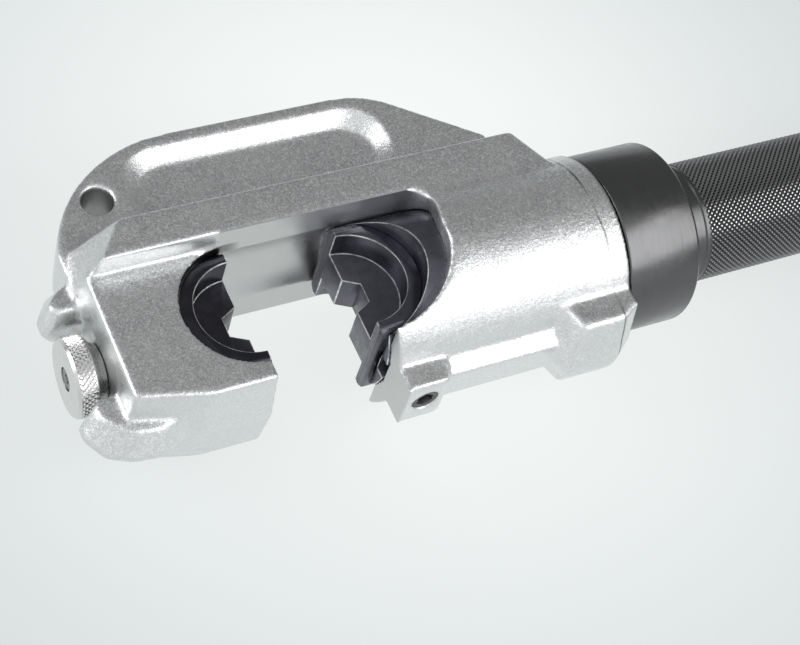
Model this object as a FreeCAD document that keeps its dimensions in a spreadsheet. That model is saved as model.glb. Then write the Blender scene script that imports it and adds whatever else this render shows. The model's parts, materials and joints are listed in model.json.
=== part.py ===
"""Hydraulic C-head crimping tool with U dies, hose fed, lying on its side.

Frame, in millimetres: X is the line of the ram, pointing back along the grip. Y points
into the closed side of the C. Z is the normal of the C, up. The origin is the middle of
the crimping nest, on the flat face of the fixed die.
"""
import FreeCAD, Part
import math
import os
import Sketcher
from FreeCAD import Vector

SIZES = {
    "Dies": {
        "die_radius": 20.5,
        "die_width": 35.0,
        "die_relief_radius": 16.0,
        "ridge_width": 13.2,
        "hex_half_mouth": 6.0,
        "hex_half_floor": 3.2,
        "hex_depth": 5.2,
        "die_hole_radius": 3.6,
        "die_hole_depth": 3.4,
        "die_fit": 0.1,
        "opening": 35.4,
    },
    "Jaw of the head": {
        "jaw_setback": 1.0,
        "jaw_front": 43.0,
        "jaw_tip_drop": 26.5,
        "jaw_corner_drop": 21.3,
        "jaw_corner_run": 22.0,
        "cheek_width": 36.6,
        "forging_draft": 2.6,
        "throat_side": 21.0,
    },
    "Spine and web of the head": {
        "band_width": 51.0,
        "band_height": 13.0,
        "band_front": 38.5,
        "band_front_skew": 10.0,
        "band_rear": 103.0,
        "band_rear_bevel": 9.0,
        "web_width": 20.0,
        "web_top": 71.4,
        "web_nose": 45.7,
        "web_round": 48.5,
        "web_flat_front": 1.0,
        "web_flat_rear": 59.0,
        "web_shoulder": 30.8,
        "web_slope": 37.5,
        "web_rear": 104.0,
        "recess_front": 18.5,
        "recess_rear": 72.0,
        "recess_rim": 4.2,
        "recess_foot": 38.0,
        "recess_corner": 13.5,
        "recess_wall": 5.0,
        "recess_depth": 4.5,
        "hang_hole_radius": 5.0,
        "hang_hole_forward": 27.5,
        "hang_hole_up": 51.8,
    },
    "Barrel of the head": {
        "barrel_radius": 31.0,
        "bore_radius": 25.0,
        "channel_radius": 25.5,
        "tongue_face": 38.5,
        "barrel_rear": 119.6,
        "barrel_collar": 6.6,
        "barrel_crease": 0.5,
        "mouth_drop": 21.8,
        "mouth_round": 24.6,
        "mouth_belly": 63.0,
        "mouth_belly_up": 4.0,
        "mouth_rear": 65.8,
        "mouth_corner": 7.0,
    },
    "Bosses of the head": {
        "boss_drop": 38.5,
        "boss_width": 19.4,
        "boss_length": 15.5,
        "rib_drop": 35.0,
        "rib_foot_width": 12.0,
        "rib_root_width": 19.0,
        "lug_drop": 43.5,
        "lug_top_drop": 36.0,
        "lug_width": 32.0,
        "lug_front": 92.0,
        "lug_top_front": 98.5,
        "lug_rear_bevel": 9.0,
        "guard_width": 17.0,
        "guard_reach": 56.8,
        "guard_top_reach": 53.2,
        "guard_clear": 13.4,
        "guard_top_clear": 17.6,
        "guard_upper_root": 30.0,
        "guard_lower_root": 32.6,
        "spot_radius": 15.4,
        "spot_face": 44.3,
    },
    "Guide screw": {
        "screw_radius": 4.3,
        "screw_place": 46.0,
        "screw_sink": 1.2,
        "screw_socket_flats": 5.0,
        "screw_socket_depth": 4.0,
        "dog_radius": 3.3,
        "thread_gap": 0.05,
    },
    "Ram": {
        "ram_fit": 0.05,
        "ram_setback": 2.5,
        "ram_rear": 108.5,
        "keyway_width": 7.0,
        "keyway_depth": 4.2,
        "key_gap": 0.3,
        "groove_depth": 4.0,
        "groove_width": 5.4,
        "groove_land": 2.0,
        "backup_width": 1.5,
        "seal_gap": 0.03,
        "ball_radius": 3.3,
        "ball_stand": 1.2,
        "ball_hole_depth": 10.0,
        "ball_gap": 0.05,
    },
    "Die lock": {
        "pin_tip_radius": 3.3,
        "pin_tip_entry": 2.7,
        "pin_shoulder_radius": 6.2,
        "pin_shoulder_width": 2.5,
        "pin_stem_radius": 4.0,
        "lock_travel": 6.0,
        "lock_chamber_radius": 6.6,
        "lock_chamber_depth": 19.4,
        "knob_radius": 12.35,
        "knob_face": 54.6,
        "knob_width": 7.8,
        "knob_edge": 0.8,
        "knob_hub_radius": 9.4,
        "knob_hub_gap": 0.3,
        "knob_bore_depth": 3.4,
        "knob_screw_radius": 2.0,
        "knob_screw_head_radius": 3.5,
        "knob_screw_head": 2.2,
        "knob_screw_length": 11.0,
        "knob_socket_flats": 3.0,
        "lock_wire": 0.55,
        "lock_spring_radius": 5.3,
        "lock_spring_turns": 4.0,
    },
    "Cylinder cap and swivel": {
        "cap_face": 109.5,
        "cap_gap": 0.6,
        "cap_radius": 30.0,
        "cap_rear": 147.3,
        "cap_edge": 1.2,
        "cap_groove": 110.6,
        "cap_groove_width": 3.9,
        "cap_groove_depth": 2.3,
        "o_ring_wire": 1.15,
        "o_ring_groove": 1.2,
        "ring_gap": 0.02,
        "swivel_place": 117.0,
        "swivel_wire": 1.4,
        "swivel_gap": 0.05,
        "swivel_ring_break": 24.0,
        "neck_radius": 15.5,
        "neck_length": 14.0,
        "oil_hole_radius": 2.5,
        "oil_hole_circle": 9.0,
    },
    "Tail rod and return spring": {
        "rod_radius": 5.0,
        "rod_entry": 14.0,
        "rod_end": 222.0,
        "rod_thread_radius": 4.0,
        "rod_thread_length": 16.0,
        "rod_gap": 0.06,
        "seat_radius": 12.5,
        "seat_width": 4.0,
        "nut_flats": 13.0,
        "nut_width": 7.0,
        "spring_wire": 1.4,
        "spring_radius": 9.0,
        "spring_turns": 7.0,
    },
    "Grip": {
        "grip_radius": 20.1,
        "grip_bore_radius": 15.6,
        "grip_length": 114.0,
        "grip_relief": 0.5,
        "grip_plain": 9.0,
        "grip_edge": 0.8,
        "end_cap_radius": 20.6,
        "end_cap_width": 7.0,
        "end_cap_edge": 1.5,
        "end_neck_length": 16.0,
        "end_groove_width": 3.4,
    },
    "Hose coupler": {
        "port_radius": 8.4,
        "coupler_thread_length": 12.0,
        "washer_radius": 12.4,
        "washer_width": 1.5,
        "coupler_flats": 24.0,
        "coupler_hex_width": 10.0,
        "nipple_radius": 9.9,
        "nipple_length": 25.0,
        "nipple_groove": 4.0,
        "nipple_groove_width": 4.0,
        "nipple_groove_depth": 1.3,
        "nipple_edge": 1.5,
        "coupler_bore_radius": 6.0,
        "valve_mouth_radius": 4.2,
        "valve_seat_length": 2.5,
        "valve_lip": 3.0,
        "poppet_radius": 5.4,
        "poppet_head": 5.0,
        "poppet_stem_radius": 2.0,
        "poppet_nose_radius": 3.0,
        "poppet_gap": 0.3,
        "poppet_travel": 3.0,
        "guide_width": 3.0,
        "guide_inset": 5.0,
        "guide_hole_radius": 1.3,
        "guide_hole_circle": 3.9,
        "poppet_wire": 0.5,
        "poppet_spring_radius": 3.4,
        "poppet_spring_turns": 5.0,
    },
}

document = FreeCAD.newDocument("crimping_tool")
sheet = document.addObject("Spreadsheet::Sheet", "Size")


def fill_sheet():
    """Write every driving size in its own named cell."""
    row = 1
    for title, sizes in SIZES.items():
        sheet.set("A%d" % row, title)
        row += 1
        for name, number in sizes.items():
            sheet.set("A%d" % row, name)
            sheet.set("B%d" % row, str(number))
            sheet.setAlias("B%d" % row, name)
            row += 1
    document.recompute()


fill_sheet()

# Places that several pieces share, worked out from the sheet
SEAT_RADIUS = "(Size.die_radius + Size.die_fit)"
RAM_FRONT = "(Size.opening + Size.ram_setback)"
RAM_RADIUS = "(Size.bore_radius - Size.ram_fit)"
RAM_SEAT_FLOOR = "(Size.opening + Size.die_radius + Size.die_fit)"
RAM_STROKE = "(Size.opening - 2 * Size.die_fit)"
SEAL_REAR = "(Size.ram_rear - Size.groove_land)"
SEAL_FRONT = "(Size.ram_rear - Size.groove_land - Size.groove_width)"
SEAL_FLOOR = "(Size.bore_radius - Size.groove_depth)"
BALL_CENTRE = "(Size.opening + Size.die_radius + Size.die_fit + Size.ball_radius - Size.ball_stand)"
BARREL_LAND = "(Size.barrel_rear - Size.barrel_collar)"
PIN_TIP = "(-Size.die_radius + Size.pin_tip_entry)"
PIN_SHOULDER = "(-Size.die_radius - 1.6)"
PIN_STEM = "(-Size.die_radius - 1.6 - Size.pin_shoulder_width)"
CHAMBER_END = "(-Size.die_radius - Size.lock_chamber_depth)"
KNOB_BACK = "(-Size.knob_face + Size.knob_width)"
CAP_FRONT = "(Size.barrel_rear + Size.cap_gap)"
CAP_SPIGOT = "(Size.bore_radius - Size.ram_fit)"
NECK_END = "(Size.cap_rear + Size.neck_length)"
NECK_SEAL = "(Size.cap_rear + Size.neck_length - Size.end_groove_width - 2)"
GRIP_END = "(Size.cap_rear + Size.grip_length)"
END_FACE = "(Size.cap_rear + Size.grip_length + Size.end_cap_width)"
HEX_FACE = "(Size.cap_rear + Size.grip_length + Size.end_cap_width + Size.washer_width)"
NIPPLE_ROOT = "(%s + Size.coupler_hex_width)" % HEX_FACE
NIPPLE_END = "(%s + Size.nipple_length)" % NIPPLE_ROOT
COUPLER_FRONT = "(%s - Size.coupler_thread_length)" % END_FACE
VALVE_SEAT = "(%s - Size.valve_lip)" % NIPPLE_END
POPPET_HEAD_END = "(%s - Size.valve_seat_length - Size.poppet_gap)" % VALVE_SEAT
POPPET_HEAD = "(%s - Size.poppet_head)" % POPPET_HEAD_END
GUIDE_REAR = "(%s + Size.guide_inset + Size.guide_width)" % COUPLER_FRONT
SEAT_FACE = "(Size.rod_end - Size.rod_thread_length)"


def number(expression):
    """The plain number that an expression on the sheet stands for."""
    result = sheet.evalExpression(expression)
    return float(getattr(result, "Value", result))


def new_body(label):
    """An empty body whose label names the piece."""
    body = document.addObject("PartDesign::Body", label)
    body.Label = label
    return body


def origin_plane(body, role):
    """One of the body's own three origin planes."""
    for feature in body.Origin.OriginFeatures:
        if feature.Role == role:
            return feature
    raise ValueError(role)


def new_sketch(body, name, role, lift):
    """An empty sketch on an origin plane, raised along the plane's normal."""
    sketch = body.newObject("Sketcher::SketchObject", name)
    sketch.AttachmentSupport = (origin_plane(body, role), [""])
    sketch.MapMode = "FlatFace"
    sketch.setExpression("AttachmentOffset.Base.z", lift)
    return sketch


def bind(sketch, constraint, expression):
    """Add one constraint whose value follows the sheet."""
    index = sketch.addConstraint(constraint)
    sketch.setExpression("Constraints[%d]" % index, expression)


def outline(body, name, role, corners, lift="0"):
    """A closed outline whose corners follow the sheet.

    A corner is (x, y), or (x, y, radius) where the side that leaves it is an arc. A
    radius that starts with "-" bends to the right of the run, any other to the left.
    """
    sketch = new_sketch(body, name, role, lift)
    points = [Vector(number(corner[0]), number(corner[1]), 0) for corner in corners]
    count = len(corners)
    starts = []
    ends = []
    for index, corner in enumerate(corners):
        here = points[index]
        there = points[(index + 1) % count]
        if len(corner) == 2:
            sketch.addGeometry(Part.LineSegment(here, there), False)
            starts.append(1)
            ends.append(2)
            continue
        left = not corner[2].startswith("-")
        radius = abs(number(corner[2]))
        half = (there - here) * 0.5
        side = Vector(-half.y, half.x, 0).normalize()
        rise = math.sqrt(max(radius ** 2 - half.Length ** 2, 0.0))
        centre = here + half + side * (rise if left else -rise)
        middle = centre - side * (radius if left else -radius)
        arc = Part.Arc(here, middle, there) if left else Part.Arc(there, middle, here)
        sketch.addGeometry(arc, False)
        starts.append(1 if left else 2)
        ends.append(2 if left else 1)
    for index in range(count):
        after = (index + 1) % count
        sketch.addConstraint(
            Sketcher.Constraint("Coincident", index, ends[index], after, starts[after]))
    for index, corner in enumerate(corners):
        across = Sketcher.Constraint("DistanceX", -1, 1, index, starts[index], points[index].x)
        along = Sketcher.Constraint("DistanceY", -1, 1, index, starts[index], points[index].y)
        bind(sketch, across, corner[0])
        bind(sketch, along, corner[1])
        if len(corner) == 3:
            radius = corner[2].lstrip("-")
            bind(sketch, Sketcher.Constraint("Radius", index, number(radius)), radius)
    return sketch


def disc(body, name, role, radius, place=("0", "0"), lift="0"):
    """A full circle on an origin plane."""
    sketch = new_sketch(body, name, role, lift)
    centre = Vector(number(place[0]), number(place[1]), 0)
    sketch.addGeometry(Part.Circle(centre, Vector(0, 0, 1), number(radius)), False)
    bind(sketch, Sketcher.Constraint("Radius", 0, number(radius)), radius)
    bind(sketch, Sketcher.Constraint("DistanceX", -1, 1, 0, 3, centre.x), place[0])
    bind(sketch, Sketcher.Constraint("DistanceY", -1, 1, 0, 3, centre.y), place[1])
    return sketch


def hexagon(body, name, flats, lift):
    """A hexagon about the X axis, measured across its flats."""
    half = "(%s / 2)" % flats
    corner = "(%s / sqrt(3))" % flats
    corners = [
        (half, corner + " / 2"), ("0", corner), ("-" + half, corner + " / 2"),
        ("-" + half, "-" + corner + " / 2"), ("0", "-" + corner), (half, "-" + corner + " / 2"),
    ]
    return outline(body, name, "YZ_Plane", corners, lift)


def pad(body, sketch, length, middle=False, back=False):
    """Raise a sketch by a length, either way or evenly about its plane."""
    feature = body.newObject("PartDesign::Pad", sketch.Name + "_pad")
    feature.Profile = sketch
    feature.setExpression("Length", length)
    feature.Midplane = middle
    feature.Reversed = back
    return feature


def cut(body, sketch, length, middle=False, forward=False):
    """Cut a sketch away by a length: backwards, forwards along its normal, or evenly."""
    feature = body.newObject("PartDesign::Pocket", sketch.Name + "_cut")
    feature.Profile = sketch
    feature.setExpression("Length", length)
    feature.Midplane = middle
    feature.Reversed = forward
    return feature


def turn(body, sketch, remove=False):
    """Turn a section about the X axis, as new metal or as a groove."""
    kind = "PartDesign::Groove" if remove else "PartDesign::Revolution"
    feature = body.newObject(kind, sketch.Name + "_turn")
    feature.Profile = sketch
    feature.ReferenceAxis = (sketch, ["H_Axis"])
    feature.Angle = 360
    return feature


def loft(body, sketches, remove=False):
    """Straight-sided transition through a row of outlines."""
    kind = "PartDesign::SubtractiveLoft" if remove else "PartDesign::AdditiveLoft"
    feature = body.newObject(kind, sketches[0].Name + "_loft")
    feature.Profile = sketches[0]
    feature.Sections = sketches[1:]
    feature.Ruled = True
    return feature


def turned(label, section):
    """A piece turned about the X axis from a section of (place, radius) corners."""
    body = new_body(label)
    turn(body, outline(body, label + "_section", "XY_Plane", section))
    return body


def ring(label, place, radius, wire):
    """A round-wire ring about the X axis."""
    body = new_body(label)
    turn(body, disc(body, label + "_wire", "XY_Plane", wire, (place, radius)))
    return body


def coil(label, front, back, radius, wire, turns):
    """An open coil spring about the X axis, its wire held between two places."""
    body = new_body(label)
    start = "(%s + %s)" % (front, wire)
    profile = disc(body, label + "_wire", "XY_Plane", wire, (start, radius))
    feature = body.newObject("PartDesign::AdditiveHelix", label + "_helix")
    feature.Profile = profile
    feature.ReferenceAxis = (profile, ["H_Axis"])
    feature.Mode = "height-turns-angle"
    feature.setExpression("Height", "%s - %s - 2 * %s" % (back, front, wire))
    feature.setExpression("Turns", turns)
    return body


def forged(body, name, middle_corners, top_corners, width):
    """A forged lump: widest on the parting plane, drafted to the same top on each side."""
    top = outline(body, name + "_top", "XY_Plane", top_corners, width + " / 2")
    waist = outline(body, name + "_waist", "XY_Plane", middle_corners)
    foot = outline(body, name + "_foot", "XY_Plane", top_corners, "-" + width + " / 2")
    return loft(body, [foot, waist, top])


def add_web(body):
    """The plate that closes the C: round nose, flat back, sloping heel."""
    round_centre = "(Size.web_top - Size.web_round)"
    reach = "(Size.web_nose + Size.web_flat_front)"
    nose_up = "%s + sqrt(Size.web_round ^ 2 - %s ^ 2)" % (round_centre, reach)
    slope_start = "(Size.web_flat_rear + Size.web_shoulder * sin(Size.web_slope))"
    slope_up = "(Size.web_top - Size.web_shoulder * (1 - cos(Size.web_slope)))"
    heel_up = "%s - (Size.web_rear - %s) * tan(Size.web_slope)" % (slope_up, slope_start)
    corners = [
        ("-Size.web_nose", "Size.throat_side"),
        ("Size.web_rear", "Size.throat_side"),
        ("Size.web_rear", heel_up),
        (slope_start, slope_up, "Size.web_shoulder"),
        ("Size.web_flat_rear", "Size.web_top"),
        ("Size.web_flat_front", "Size.web_top", "Size.web_round"),
        ("-Size.web_nose", nose_up),
    ]
    pad(body, outline(body, "web_outline", "XY_Plane", corners), "Size.web_width", middle=True)


def add_band(body):
    """The thick band along the throat, which runs into the barrel."""
    top = "(Size.throat_side + Size.band_height)"
    root = "(Size.throat_side - 4)"
    rear_root = "(Size.band_rear + Size.band_rear_bevel)"
    upper = [
        ("-Size.band_front", "Size.throat_side"),
        ("-Size.jaw_setback", "Size.throat_side"),
        ("-Size.jaw_setback", root),
        (rear_root, root),
        ("Size.band_rear", top),
        ("-Size.band_front + Size.band_front_skew", top),
    ]
    lower = [
        ("-Size.jaw_front - Size.forging_draft", "Size.throat_side"),
        ("-Size.jaw_setback", "Size.throat_side"),
        ("-Size.jaw_setback", root),
        (rear_root + " + 2", root),
        ("Size.band_rear + 2", top + " + 2"),
        ("-Size.jaw_front", top + " + 2"),
    ]
    sections = []
    for name, corners, lift in (
            ("band_below", upper, "-Size.band_width / 2"),
            ("band_low", lower, "-Size.web_width / 2"),
            ("band_high", lower, "Size.web_width / 2"),
            ("band_above", upper, "Size.band_width / 2")):
        sections.append(outline(body, name, "XY_Plane", corners, lift))
    loft(body, sections)


def add_jaw(body):
    """The anvil jaw under the fixed die, with its draft either side of the parting line."""
    def jaw_corners(grow):
        front = "-Size.jaw_front - %s" % grow
        return [
            (front, "Size.throat_side + 1"),
            (front, "-Size.jaw_corner_drop - %s" % grow),
            ("-Size.jaw_front + Size.jaw_corner_run - %s" % grow, "-Size.jaw_tip_drop - %s" % grow),
            ("-Size.jaw_setback", "-Size.jaw_tip_drop - %s" % grow),
            ("-Size.jaw_setback", "Size.throat_side + 1"),
        ]
    forged(body, "jaw", jaw_corners("Size.forging_draft"), jaw_corners("0"), "Size.cheek_width")


def add_guards(body):
    """The two lugs that shield the lock knob."""
    wall = "-Size.jaw_front + 1"
    upper_waist = [
        (wall, "Size.guard_upper_root"),
        ("-Size.guard_reach + 4.8", "Size.guard_upper_root - 2.5"),
        ("-Size.guard_reach", "Size.guard_clear + 7.5"),
        ("-Size.guard_reach", "Size.guard_clear + 2"),
        ("-Size.guard_reach + 3", "Size.guard_clear"),
        (wall, "Size.guard_clear"),
    ]
    upper_top = [
        (wall, "Size.guard_upper_root - 1.5"),
        ("-Size.guard_top_reach + 3.5", "Size.guard_top_clear + 7"),
        ("-Size.guard_top_reach", "Size.guard_top_clear + 3.4"),
        ("-Size.guard_top_reach", "Size.guard_top_clear + 1.4"),
        ("-Size.guard_top_reach + 1.2", "Size.guard_top_clear"),
        (wall, "Size.guard_top_clear"),
    ]
    forged(body, "upper_guard", upper_waist, upper_top, "Size.guard_width")
    lower_waist = [
        (wall, "-Size.guard_clear"),
        ("-Size.guard_reach + 3", "-Size.guard_clear"),
        ("-Size.guard_reach", "-Size.guard_clear - 3"),
        ("-Size.guard_reach", "-Size.guard_clear - 8"),
        ("-Size.guard_reach + 4.3", "-Size.guard_lower_root + 4"),
        ("-Size.jaw_front - 2", "-Size.guard_lower_root + 0.8"),
        ("-Size.jaw_front + 7", "-Size.guard_lower_root"),
        ("-Size.jaw_front + 20", "-Size.jaw_tip_drop"),
        (wall + " + 4", "-Size.jaw_corner_drop"),
    ]
    lower_top = [
        (wall, "-Size.guard_clear + 1"),
        ("-Size.guard_top_reach + 3", "-Size.guard_clear + 0.4"),
        ("-Size.guard_top_reach + 1", "-Size.guard_clear - 2.6"),
        ("-Size.guard_top_reach + 2", "-Size.guard_clear - 6"),
        ("-Size.guard_top_reach + 5", "-Size.guard_lower_root + 9"),
        ("-Size.jaw_front - 1", "-Size.guard_lower_root + 6"),
        ("-Size.jaw_front + 7", "-Size.guard_lower_root + 5"),
        ("-Size.jaw_front + 18", "-Size.jaw_tip_drop + 1"),
        (wall + " + 4", "-Size.jaw_corner_drop"),
    ]
    forged(body, "lower_guard", lower_waist, lower_top, "Size.guard_width")


def add_bosses(body):
    """The guide screw boss, the rib behind it and the heel lug."""
    front = "Size.tongue_face"
    boss_rear = "Size.tongue_face + Size.boss_length"
    root = "-Size.bore_radius - 1"
    boss = [
        (front, root),
        (front, "-Size.boss_drop"),
        (boss_rear + " - 2", "-Size.boss_drop"),
        (boss_rear, "-Size.rib_drop + 2"),
        (boss_rear, root),
    ]
    pad(body, outline(body, "boss_outline", "XY_Plane", boss), "Size.boss_width", middle=True)
    rib = [
        ("-Size.bore_radius - 3", "Size.rib_root_width / 2"),
        ("-Size.rib_drop", "Size.rib_foot_width / 2"),
        ("-Size.rib_drop", "-Size.rib_foot_width / 2"),
        ("-Size.bore_radius - 3", "-Size.rib_root_width / 2"),
    ]
    rib_sketch = outline(body, "rib_outline", "YZ_Plane", rib, boss_rear + " - 3")
    pad(body, rib_sketch, "Size.lug_front - Size.tongue_face - Size.boss_length + 6")
    rear = "Size.barrel_rear"
    lug_waist = [
        ("Size.lug_front - 4", root),
        ("Size.lug_front + 1", "-Size.lug_drop"),
        (rear + " - Size.lug_rear_bevel", "-Size.lug_drop"),
        (rear, "-Size.lug_drop + 7.5"),
        (rear, root),
    ]
    lug_top = [
        ("Size.lug_top_front - 3.5", root),
        ("Size.lug_top_front", "-Size.lug_top_drop"),
        (rear + " - 6", "-Size.lug_top_drop"),
        (rear, "-Size.lug_top_drop + 3.5"),
        (rear, root),
    ]
    forged(body, "heel_lug", lug_waist, lug_top, "Size.lug_width")


def cut_throat(body):
    """The open throat of the C with the round mouth that it cuts in the barrel."""
    face = "-Size.jaw_setback"
    far = "-2 * Size.lug_drop"
    corners = [
        (face, "Size.throat_side"),
        (face, far),
        ("Size.tongue_face", far),
        ("Size.tongue_face", "-Size.mouth_drop", "Size.mouth_round"),
        ("Size.mouth_belly", "Size.mouth_belly_up"),
        ("Size.mouth_rear", "Size.throat_side - Size.mouth_corner", "Size.mouth_corner"),
        ("Size.mouth_rear - Size.mouth_corner", "Size.throat_side"),
    ]
    sketch = outline(body, "throat_outline", "XY_Plane", corners)
    cut(body, sketch, "2 * Size.barrel_radius + Size.band_width", middle=True)
    channel = disc(body, "channel", "YZ_Plane", "Size.channel_radius", lift=face)
    cut(body, channel, "Size.tongue_face + Size.jaw_setback", forward=True)
    bore = disc(body, "bore", "YZ_Plane", "Size.bore_radius", lift=face)
    cut(body, bore, "Size.barrel_rear + 2 * Size.jaw_setback", forward=True)


def cut_recesses(body):
    """The long dished recess in each face of the web."""
    def rounded(inset):
        left = "(-Size.recess_front + %s)" % inset
        right = "(Size.recess_rear - %s)" % inset
        low = "(Size.recess_foot + %s)" % inset
        high = "(Size.web_top - Size.recess_rim - %s)" % inset
        turn_in = "(Size.recess_corner - %s / 2)" % inset
        return [
            (left + " + " + turn_in, low),
            (right + " - " + turn_in, low, turn_in),
            (right, low + " + " + turn_in),
            (right, high + " - " + turn_in, turn_in),
            (right + " - " + turn_in, high),
            (left + " + " + turn_in, high, turn_in),
            (left, high + " - " + turn_in),
            (left, low + " + " + turn_in, turn_in),
        ]
    for name, sign in (("upper", ""), ("lower", "-")):
        rim = outline(
            body, name + "_recess_rim", "XY_Plane", rounded("0"),
            sign + "(Size.web_width / 2 + 0.01)")
        floor = outline(
            body, name + "_recess_floor", "XY_Plane", rounded("Size.recess_wall"),
            sign + "(Size.web_width / 2 - Size.recess_depth)")
        loft(body, [rim, floor], remove=True)


def cut_head_holes(body):
    """Die seat, hanging hole, knob spot face, lock chamber, guide screw hole, swivel race."""
    seat = disc(body, "fixed_seat", "XY_Plane", SEAT_RADIUS)
    cut(body, seat, "2 * Size.cheek_width", middle=True)
    hang = disc(
        body, "hang_hole", "XY_Plane", "Size.hang_hole_radius",
        ("-Size.hang_hole_forward", "Size.hang_hole_up"))
    cut(body, hang, "2 * Size.web_width", middle=True)
    spot = disc(body, "knob_spot", "YZ_Plane", "Size.spot_radius", lift="-Size.spot_face")
    cut(body, spot, "Size.guard_reach")
    chamber = disc(body, "lock_chamber", "YZ_Plane", "Size.lock_chamber_radius", lift=CHAMBER_END)
    cut(body, chamber, "Size.lock_chamber_depth + 5", forward=True)
    stem = disc(
        body, "lock_stem_hole", "YZ_Plane", "Size.pin_stem_radius + Size.ram_fit",
        lift="-Size.spot_face - 1")
    cut(body, stem, "Size.spot_face", forward=True)
    screw = disc(
        body, "guide_screw_hole", "XZ_Plane", "Size.screw_radius + Size.thread_gap",
        ("Size.screw_place", "0"), lift="Size.bore_radius - 2")
    cut(body, screw, "Size.boss_drop", forward=True)
    race = disc(
        body, "swivel_race", "XY_Plane", "Size.swivel_wire + Size.swivel_gap",
        ("Size.swivel_place", "Size.bore_radius"))
    turn(body, race, remove=True)
    crease = [
        (BARREL_LAND + " - Size.barrel_crease", "Size.barrel_radius + 1"),
        (BARREL_LAND, "Size.barrel_radius - Size.barrel_crease"),
        (BARREL_LAND + " + Size.barrel_crease", "Size.barrel_radius + 1"),
    ]
    turn(body, outline(body, "barrel_crease_cut", "XY_Plane", crease), remove=True)


def make_head():
    """The forged C head with its barrel, in one piece."""
    body = new_body("c_head")
    barrel = disc(body, "barrel", "YZ_Plane", "Size.barrel_radius", lift="Size.tongue_face")
    pad(body, barrel, "Size.barrel_rear - Size.tongue_face")
    add_web(body)
    add_band(body)
    add_jaw(body)
    add_guards(body)
    add_bosses(body)
    cut_throat(body)
    cut_recesses(body)
    cut_head_holes(body)
    return body


def make_die(label, face, side):
    """A U die: half round, relieved at both ends, with half a hexagon in its ridge.

    face is the place of its flat face, and side is "-" for a die whose round back
    points forward, or "" for one whose back points to the grip.
    """
    body = new_body(label)
    bend = side + "Size.die_radius"
    back_point = "%s %s Size.die_radius" % (face, side or "+")
    half_round = [
        (face, "-Size.die_radius", bend), (back_point, "0", bend), (face, "Size.die_radius"),
    ]
    blank = outline(body, label + "_blank", "XY_Plane", half_round)
    pad(body, blank, "Size.die_width", middle=True)
    relief_depth = "(Size.die_width - Size.ridge_width) / 2 + 1"
    for name, sign, forward in (("upper", "", True), ("lower", "-", False)):
        relief = disc(
            body, "%s_%s_relief" % (label, name), "XY_Plane", "Size.die_relief_radius",
            (face, "0"), sign + "Size.ridge_width / 2")
        cut(body, relief, relief_depth, forward=forward)
    floor = "%s %s Size.hex_depth" % (face, side or "+")
    past = "%s %s 1" % (face, "+" if side == "-" else "-")
    hexagon_half = [
        (past, "Size.hex_half_mouth"),
        (face, "Size.hex_half_mouth"),
        (floor, "Size.hex_half_floor"),
        (floor, "-Size.hex_half_floor"),
        (face, "-Size.hex_half_mouth"),
        (past, "-Size.hex_half_mouth"),
    ]
    nest = outline(body, label + "_nest", "XY_Plane", hexagon_half)
    cut(body, nest, "Size.die_width", middle=True)
    back = "%s %s (Size.die_radius - Size.die_hole_depth)" % (face, side or "+")
    hole = disc(body, label + "_hole", "YZ_Plane", "Size.die_hole_radius", lift=back)
    cut(body, hole, "2 * Size.die_hole_depth", forward=side == "")
    return body


def make_guide_screw():
    """The set screw whose dog point runs in the ram's keyway."""
    body = new_body("guide_screw")
    face = "Size.boss_drop - Size.screw_sink"
    point = "Size.bore_radius - Size.keyway_depth + Size.key_gap"
    shank_end = "(Size.bore_radius + 1.5)"
    shank = disc(
        body, "guide_screw_shank", "XZ_Plane", "Size.screw_radius", ("Size.screw_place", "0"),
        shank_end)
    pad(body, shank, face + " - " + shank_end)
    dog = disc(
        body, "guide_screw_dog", "XZ_Plane", "Size.dog_radius", ("Size.screw_place", "0"), point)
    pad(body, dog, shank_end + " - (" + point + ") + 0.5")
    half = "Size.screw_socket_flats / 2"
    corner = "Size.screw_socket_flats / sqrt(3)"
    place = "Size.screw_place"
    socket = [
        (place + " + " + half, corner + " / 2"), (place, corner),
        (place + " - " + half, corner + " / 2"), (place + " - " + half, "-" + corner + " / 2"),
        (place, "-" + corner), (place + " + " + half, "-" + corner + " / 2"),
    ]
    key = outline(body, "guide_screw_socket", "XZ_Plane", socket, face)
    cut(body, key, "Size.screw_socket_depth")
    return body


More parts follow.
